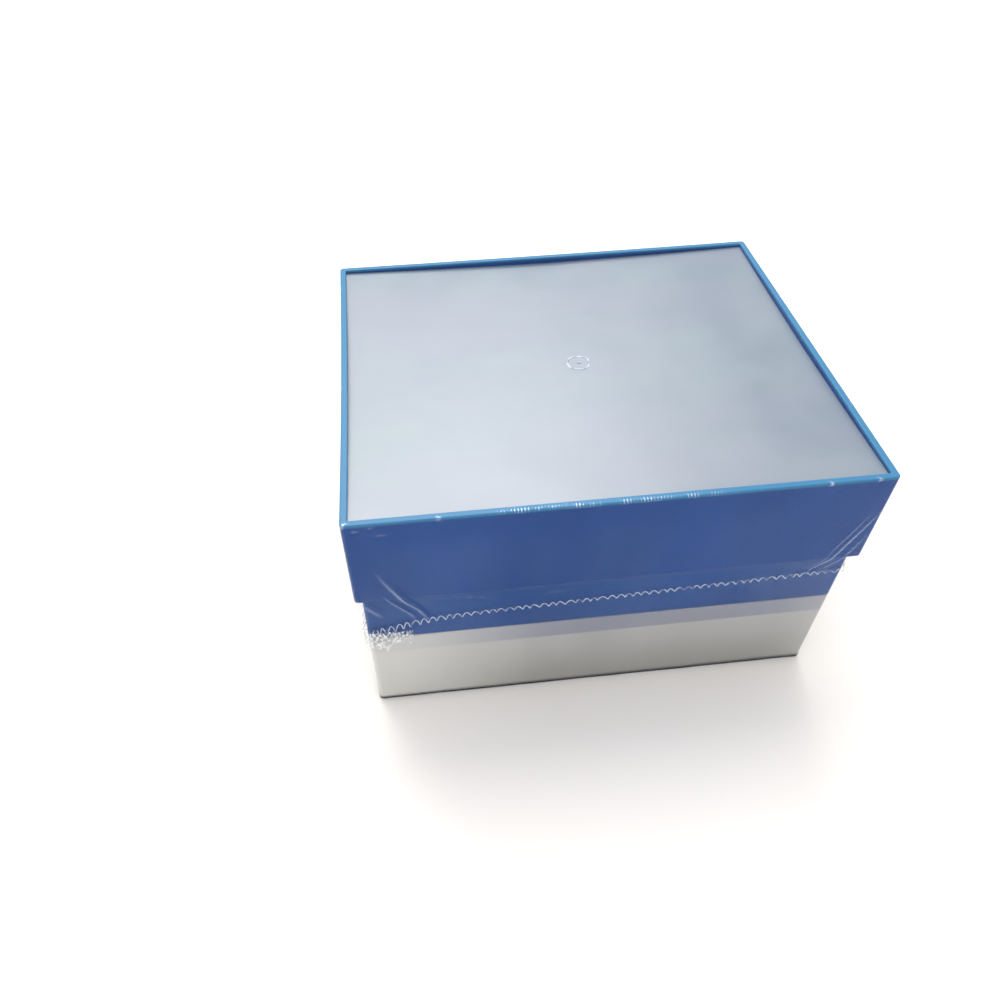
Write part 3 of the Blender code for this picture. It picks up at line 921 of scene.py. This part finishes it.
# Creases as (corner, start, end, width, height). Start and end are a distance from the corner, under 0 on the
# way to it and over 0 past it, and a height over the table. All are in millimetres.
creases = [
    (FRONT_LEFT, (6.6, 61.5), (16.2, 42.0), 0.66, 0.54),
    (FRONT_LEFT, (7.6, 52.5), (13.0, 42.2), 0.52, 0.44),
    (FRONT_LEFT, (9.6, 58.0), (15.0, 46.6), 0.6, 0.12),
    (FRONT_LEFT, (0.4, 52.5), (5.0, 44.5), 1.2, 0.26),
    (FRONT_LEFT, (-0.4, 76.9), (6.8, 78.3), 0.3, 0.22),
    (FRONT_LEFT, (1.6, 75.9), (9.5, 75.5), 0.3, 0.16),
    (FRONT_LEFT, (16.0, 50.2), (33.0, 47.6), 0.35, 0.14),
    (FRONT_LEFT, (46.0, 47.2), (60.0, 46.8), 0.35, 0.1),
    (FRONT_RIGHT, (0.2, 70), (-9.6, 46.6), 0.42, 0.5),
    (FRONT_RIGHT, (-3.0, 67.4), (-8.4, 54.0), 0.4, 0.26),
    (FRONT_RIGHT, (-8.2, 54), (-11.0, 47.2), 0.45, 0.18),
    (FRONT_RIGHT, (-1.0, 60), (-6.4, 46.2), 0.36, 0.34),
    (FRONT_RIGHT, (1.5, 60), (7.0, 44), 0.6, 0.32),
    (FRONT_RIGHT, (2.0, 70), (12.0, 44.5), 0.7, 0.3),
    (FRONT_LEFT, (-2.0, 60), (-9.0, 37), 0.65, 0.36),
    (FRONT_LEFT, (-4.5, 67), (-15.0, 36.5), 0.7, 0.26),
    (BACK_LEFT, (1.0, 66), (9.0, 37), 0.65, 0.36),
    (BACK_LEFT, (3.5, 58), (14.0, 36.5), 0.6, 0.26),
    (BACK_LEFT, (-1.5, 64), (-10.0, 37.5), 0.7, 0.34),
    (BACK_RIGHT, (1.5, 67), (9.0, 44), 0.65, 0.34),
    (BACK_RIGHT, (-1.0, 65), (-8.5, 44.5), 0.6, 0.36),
    (BACK_RIGHT, (-4.0, 58), (-13.0, 44), 0.6, 0.24),
]

# Painted highlights where the film is pinched at the rim, as (corner, distance from it in millimetres,
# strength)
painted_rim_glints = [
    (FRONT_LEFT, 0.4, 0.5),
    (FRONT_LEFT, 22.5, 0.3),
    (FRONT_RIGHT, -17.0, 0.6),
    (FRONT_RIGHT, -5.1, 0.5),
    (FRONT_RIGHT, 27.4, 0.4),
    (BACK_RIGHT, 31.0, 0.4),
    (BACK_LEFT, 12.0, 0.4),
    (BACK_LEFT, 62.0, 0.3),
]


def crease_heights(levels):
    """How far the creases lift each place on the film, and the painted highlight and painted shade along
    each.
    """
    lift = np.zeros(levels.shape)
    fold = np.zeros(levels.shape)
    for corner, start, end, width, height in creases:
        across = from_corner(corner) - start[0] * MM
        up = levels - start[1] * MM
        way = np.array([end[0] - start[0], end[1] - start[1]])
        length = np.linalg.norm(way)
        way /= length
        along = (across * way[0] + up * way[1]) / (length * MM)
        aside = (across * way[1] - up * way[0]) / (width * MM)
        reach = smooth(along, -0.12, 0.35) * smooth(along, 1.15, 0.75)
        ridge, trough = bell(aside, 1), 0.35 * bell(aside + 1.9, 1)
        lift += height * MM * reach * (ridge - trough)
        # Painted light: a highlight painted along each crease's crest, and painted shade beside it.
        bright = smooth(along, -0.15, 0.5) * smooth(along, 1.2, 0.9)
        painted_glint, shade = bell(aside - 0.4, 1 / 2.4), 0.16 * bell(aside + 1.5, 1)
        fold += bright * height * (painted_glint - shade)
    return lift, fold


shoulder = lid_high.z + ROOF_GAP - EDGE_ROUND
levels = seal + 0.02 * MM + wall_shares(0.07, 10, 56) * (shoulder - seal)
corners = (BACK_RIGHT, BACK_LEFT, FRONT_LEFT, FRONT_RIGHT)
nearest_corner = np.minimum.reduce([np.abs(from_corner(corner)) for corner in corners])
bridge = BRIDGE + (lid_low.z - seal - BRIDGE) * bell(nearest_corner, BRIDGE_REACH)
drawn_in = np.clip((lid_low.z + 0.3 * MM - levels) / bridge, 0, 1)
lift, fold = crease_heights(levels + drawn_in * (hood_size[0] - wrap_size[0]) / 2)
above = levels - seal
out = pleats(above) + 0.05 * MM * slack(levels) * smooth(above, 0, 5 * MM) + lift
out = np.maximum(out, -MOST_SINK)
out = np.where(levels > lid_low.z - 1 * MM, np.minimum(out, MOST_STAND_OUT), out)
ring = hood_ring[None] * (1 - drawn_in[..., None]) + wrap_ring[None] * drawn_in[..., None]
over = edge_rows(hood_ring, shoulder, EDGE_ROUND, out[-1], fading=1)
rows = np.concatenate([film_rows(ring, levels, out), *over])
rows[..., 0], rows[..., 1] = pulled_in(rows[..., 0], rows[..., 1], rows[..., 2])
whiteness = np.zeros(rows.shape[:2])
# The pleats' white and painted highlight, then the creases' painted highlight and shade.
whiteness[: len(out)] = pleat_white_and_highlight(above) + 0.85 * fold
# Painted shade: dark spots painted between the puckers just above the seal, most by the front corners.
gaps = smooth(np.sin(math.tau * way_round / PLEAT_LENGTH + 2), 0.0, 0.8) * bell(above - 0.9 * MM, 0.6 * MM)
painted_shade_left_share = PAINTED_SHADE_LEFT * fade(from_corner(FRONT_LEFT), PAINTED_SHADE_LEFT_REACH)
painted_shade_right_share = PAINTED_SHADE_RIGHT * fade(from_corner(FRONT_RIGHT), PAINTED_SHADE_RIGHT_REACH)
whiteness[: len(out)] -= gaps * (painted_shade_left_share + painted_shade_right_share)
# Painted highlights on the top rows, one at each pinch.
for corner, far, strength in painted_rim_glints:
    whiteness[len(out) - 1 :] += strength * bell(from_corner(corner) - far * MM, PAINTED_GLINT_WIDTH)


def roof_level(x, y):
    """The roof lies on the rim and dips a little between."""
    u, v = 2 * x / lid_size[0], 2 * y / lid_size[1]
    return lid_high.z + ROOF_GAP - ROOF_SAG * (1 - min(u * u, 1)) * (1 - min(v * v, 1))


hood = add_object("film_hood", film_mesh("film_hood", rows, whiteness, roof_level), film)
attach(hood, "lid")
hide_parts("film_top_hood")
declare_film(hood_size, lid_high.z - float(np.mean(seal)))

# ------ film seal
# The line where hood and pan were welded and cut off by a hot wire. The melted edge is a thin white bead that
# the shrinking film has thrown into puckers, deepest at the front left corner. It runs round three sides.

BEAD_RADIUS = 0.1 * MM
BEAD_STEP = 0.22 * MM
FOLDED_OVER = 0.5 * MM

folded_size = (wrap_size[0] + FOLDED_OVER, wrap_size[1] + FOLDED_OVER)


def seal_path():
    """The seal's line along the left side, the front and the right side, as a mesh of edges."""
    points, _ = outline(folded_size, film_corner, FILM_STEPS)
    long_side, _, round_corner = FILM_STEPS
    back_left_end = round_corner + long_side + round_corner
    mesh = bpy.data.meshes.new("film_seal")
    places = [(x, y, seal_level(x, y)) for x, y in points[back_left_end:]]
    mesh.from_pydata(places, [(i, i + 1) for i in range(len(places) - 1)], [])
    return mesh


def white_weld():
    """Film that was melted and has set white, glossy on its ridges."""
    material, wire = new_material("film_weld")
    uneven = wire.noise(1200, 3).ramp(0.35, 0.65)
    cover = wire.noise(430, 2).ramp(0.36, 0.54, 0.22, 0.95)
    finish = {
        "Base Color": uneven.blend((0.62, 0.7, 0.84, 1), (0.88, 0.92, 0.96, 1)),
        "Roughness": uneven.ramp(0, 1, 0.2, 0.4),
        "Normal": wire.noise(3000, 2).bump(0.03 * MM),
    }
    set_surface(wire, finish, cover)
    return material


def pucker_tree(material):
    """Throws a line into puckers that stand out and sag by turns, and gives it a round section."""
    sizes = {
        "Radians Per Metre": math.tau / PLEAT_LENGTH,
        "Swing": 0.46 * MM,
        "Extra Swing": 0.62 * MM,
        "Extra From": 3 * MM,
        "Extra Over": 30 * MM,
        "Radius": BEAD_RADIUS,
    }
    inputs = [(label, "Float", value) for label, value in sizes.items()] + [("Corner", "Vector", None)]
    tree, wire, given = tree_with_inputs("seal_puckers", inputs)
    line = wire.add("GeometryNodeMeshToCurve", {}, {"Mesh": given["Geometry"]})
    line = wire.add("GeometryNodeResampleCurve", {"mode": "LENGTH"}, {"Curve": line, "Length": BEAD_STEP})
    length = wire.add("GeometryNodeSplineParameter", out="Length")
    ends = {0: wire.add("GeometryNodeInputPosition"), 1: given["Corner"]}
    away = wire.add("ShaderNodeVectorMath", {"operation": "DISTANCE"}, ends, "Value")
    limits = {1: given["Extra From"], 2: given["Extra Over"], 3: 1.0, 4: 0.0}
    near = wire.add("ShaderNodeMapRange", {}, {"Value": away, **limits})
    height = given["Swing"] + given["Extra Swing"] * near
    pattern = {"W": length * 160, "Scale": 1.0, "Detail": 2.0}
    uneven = wire.add("ShaderNodeTexNoise", {"noise_dimensions": "1D"}, pattern, 0)
    turns = length * given["Radians Per Metre"] + uneven * 5.0
    wave = wire.math("ABSOLUTE", wire.math("SINE", turns * 0.5)) * 2.0 - 1.0
    drop = wave * height
    outward = (wave * -0.5 + 0.5) * height
    tangent = wire.add("GeometryNodeInputTangent")
    side = wire.add("ShaderNodeVectorMath", {"operation": "CROSS_PRODUCT"}, {0: tangent, 1: (0, 0, 1)})
    sway = wire.add("ShaderNodeVectorMath", {"operation": "SCALE"}, {0: side, "Scale": outward})
    up = wire.add("ShaderNodeCombineXYZ", {}, {"Z": drop})
    offset = wire.add("ShaderNodeVectorMath", {"operation": "ADD"}, {0: sway, 1: up})
    moved = wire.add("GeometryNodeSetPosition", {}, {"Geometry": line, "Offset": offset})
    circle = {"Resolution": 8, "Radius": given["Radius"]}
    section = wire.add("GeometryNodeCurvePrimitiveCircle", {"mode": "RADIUS"}, circle)
    sweep = {"Curve": moved, "Profile Curve": section, "Fill Caps": True}
    bead = wire.add("GeometryNodeCurveToMesh", {}, sweep)
    close_tree(wire, bead, material)
    return tree


bead = add_object("film_seal", seal_path())
begun_at = (lid_low.x, lid_low.y, seal_level(lid_low.x, lid_low.y))
run_tree(bead, pucker_tree(white_weld()), corner=begun_at)
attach(bead, "lid")
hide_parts("film_seal_bead")

# ------ corner tail
# At the front left corner the cut left a tag of film, which shrank to a white crumpled rag. It hangs from the
# seal against the tray, and leaves with the lid.

TAIL_TOP = 34.8 * MM
TAIL_WIDTH = 15 * MM
TAIL_DROP = 8.5 * MM
TAIL_START = -2.5 * MM

# The rag's folds as (depth, length along the film in millimetres, radians down the rag, phase)
tail_folds = [(1.0, 0.3, 6, 0), (0.8, 0.19, -17, 1), (0.9, 0.55, 31, 0), (0.6, -0.9, 19, 0)]


def tail_mesh():
    """A rag of film wound a little way round the corner, its folds growing towards its free lower edge."""
    across, down = 190, 84
    ring, outward = outline(folded_size, film_corner, FILM_STEPS)
    offsets = from_corner(FRONT_LEFT)
    order = np.argsort(offsets)
    deepest = sum(depth for depth, _, _, _ in tail_folds)
    bm = bmesh.new()
    grid = []
    for i in range(across + 1):
        along = TAIL_START + TAIL_WIDTH * i / across
        ways = (*ring.T, *outward.T)
        x, y, out_x, out_y = (np.interp(along, offsets[order], way[order]) for way in ways)
        ragged = math.sin(along / (1.1 * MM)) * math.sin(along / (0.5 * MM) + 1)
        length = TAIL_DROP * (0.82 - 0.35 * smooth(along, 4 * MM, 12 * MM) + 0.18 * ragged)
        column = []
        for j in range(down + 1):
            share = j / down
            fold = sum(
                depth * math.sin(along / (long * MM) + turns * share + phase)
                for depth, long, turns, phase in tail_folds
            )
            push = (0.15 + 0.13 * (fold + deepest) * min(1.0, 3 * share)) * MM
            z = TAIL_TOP - length * share + 0.25 * MM * math.sin(along / (0.5 * MM)) * share
            column.append(bm.verts.new((x + out_x * push, y + out_y * push, z)))
        grid.append(column)
    for left, right in zip(grid, grid[1:]):
        for j in range(down):
            bm.faces.new((left[j], left[j + 1], right[j + 1], right[j]))
    return smooth_mesh("film_corner_tail", bm)


def crumpled_film():
    """Film crumpled until it is white, with clear gaps between its folds."""
    material, wire = new_material("film_crumpled")
    folds = wire.noise(1300, 5, (1, 1, 0.55), 0.7).ramp(0.43, 0.57)
    finish = {
        "Base Color": folds.blend((0.75, 0.77, 0.8, 1), (0.92, 0.93, 0.94, 1)),
        "Roughness": folds.ramp(0, 1, 0.15, 0.35),
        "Metallic": 0.2,
        "Normal": wire.noise(1800, 3).bump(0.08 * MM),
    }
    set_surface(wire, finish, folds * 0.85 + 0.06)
    return material


tail = add_object("film_corner_tail", tail_mesh(), crumpled_film())
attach(tail, "lid")

# ------ table and lighting
# A plain pale table top under an even, bright room. A large soft light stands high behind the box, and a
# weak one over its front.


def table_top():
    material, wire = new_material("pale_table")
    cloud = wire.noise(6, 3).ramp(0.3, 0.7)
    finish = {
        "Base Color": cloud.blend((0.88, 0.85, 0.82, 1), (0.9, 0.875, 0.85, 1)),
        "Roughness": cloud.ramp(0, 1, 0.5, 0.6),
        "Normal": wire.noise(500, 3).bump(0.02 * MM),
    }
    set_surface(wire, finish)
    return material


bm = bmesh.new()
bmesh.ops.create_grid(bm, x_segments=8, y_segments=8, size=3.0)
table = add_object("table", finished_mesh("table", bm), table_top())


def softbox(name, azimuth, elevation, distance, size, power, colour=(1, 1, 1)):
    """A square soft light that faces the box. Azimuth 0 is behind the box and 90 is to its left."""
    light = bpy.data.lights.new(name, "AREA")
    light.shape = "SQUARE"
    light.size = size
    light.energy = power
    light.color = colour
    made = bpy.data.objects.new(name, light)
    bpy.context.scene.collection.objects.link(made)
    turn, rise = math.radians(azimuth), math.radians(elevation)
    aim = Vector((-math.sin(turn) * math.cos(rise), math.cos(turn) * math.cos(rise), math.sin(rise)))
    made.location = aim * distance
    made.rotation_euler = aim.to_track_quat("Z", "Y").to_euler()


daylight = (1.0, 0.985, 0.955)
softbox("window_light", azimuth=8, elevation=62, distance=0.8, size=0.6, power=5.5, colour=daylight)
softbox("front_fill", azimuth=172, elevation=75, distance=0.8, size=0.8, power=1.3)

world = bpy.data.worlds.new("studio")
world.use_nodes = True
sky = Wire(world.node_tree)
towards = sky.add("ShaderNodeTexCoord", out="Generated")
window = Vector((-0.5, 0.5, 0.7)).normalized()
facing = sky.add("ShaderNodeVectorMath", {"operation": "DOT_PRODUCT"}, {0: towards, 1: window}, "Value")
background = world.node_tree.nodes["Background"]
background.inputs["Color"].default_value = (1, 1, 1, 1)
brightness = facing.ramp(-0.7, 1.0, 0.7, 0.9)
world.node_tree.links.new(brightness.socket, background.inputs["Strength"])
bpy.context.scene.world = world
bpy.context.scene.view_settings.view_transform = "Standard"

# ------ camera
# A wide lens held in front of the box and over its left half, turned a little to the right and shifted a
# little to centre the box.

lens = bpy.data.cameras.new("camera")
lens.sensor_width = 36
lens.lens = 29.0
lens.shift_x = 0.0276
lens.shift_y = 0.0183
lens.clip_start = 0.01
camera = bpy.data.objects.new("camera", lens)
camera.location = (-47.8 * MM, -181.05 * MM, 214.4 * MM)
camera.rotation_euler = (math.radians(42.636), math.radians(0.764), math.radians(-6.21))
bpy.context.scene.collection.objects.link(camera)
bpy.context.scene.camera = camera
